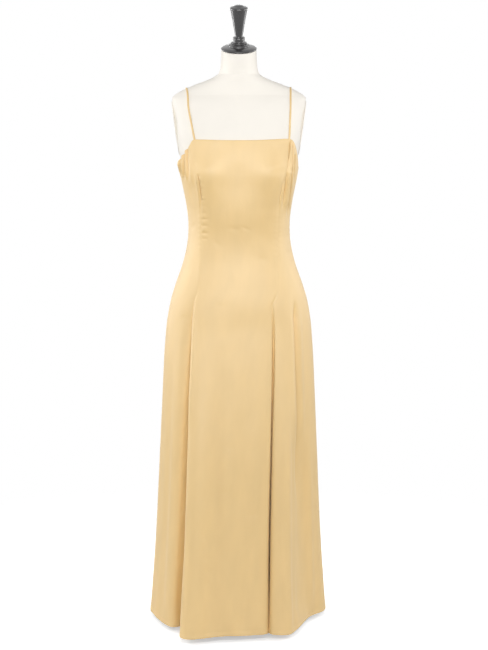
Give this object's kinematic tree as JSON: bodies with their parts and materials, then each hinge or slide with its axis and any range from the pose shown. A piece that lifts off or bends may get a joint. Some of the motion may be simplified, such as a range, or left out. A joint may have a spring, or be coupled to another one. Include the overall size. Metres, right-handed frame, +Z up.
{
  "type": "satin maxi dress on a limbless dress form",
  "caption": "Long satin dress with thin shoulder straps and released pleats, worn by a limbless dress form on a round base.",
  "frame": {"origin": "centre of the base's underside, on the floor and on the axis of the pole", "axes": "+Z up; the front faces -Y; the wearer's left is +X"},
  "size_m": [0.4801, 0.4457, 1.6344],
  "materials": {
    "satin": "mustard-gold satin with a soft sheen",
    "form_cover": "off-white cotton jersey cover",
    "black_wood": "glossy black lacquer",
    "stand_steel": "black satin enamel"
  },
  "bodies": {
    "root": {"front_centre": "satin", "front_side_left": "satin", "back_side_left": "satin", "back_centre": "satin", "back_side_right": "satin", "front_side_right": "satin", "strap_right": "satin", "strap_left": "satin", "torso": "form_cover", "arm_plate_right": "form_cover", "arm_plate_left": "form_cover", "neck_cap": "black_wood", "cap_handle": "black_wood", "base": "stand_steel", "pole": "stand_steel"}
  },
  "joints": []
}
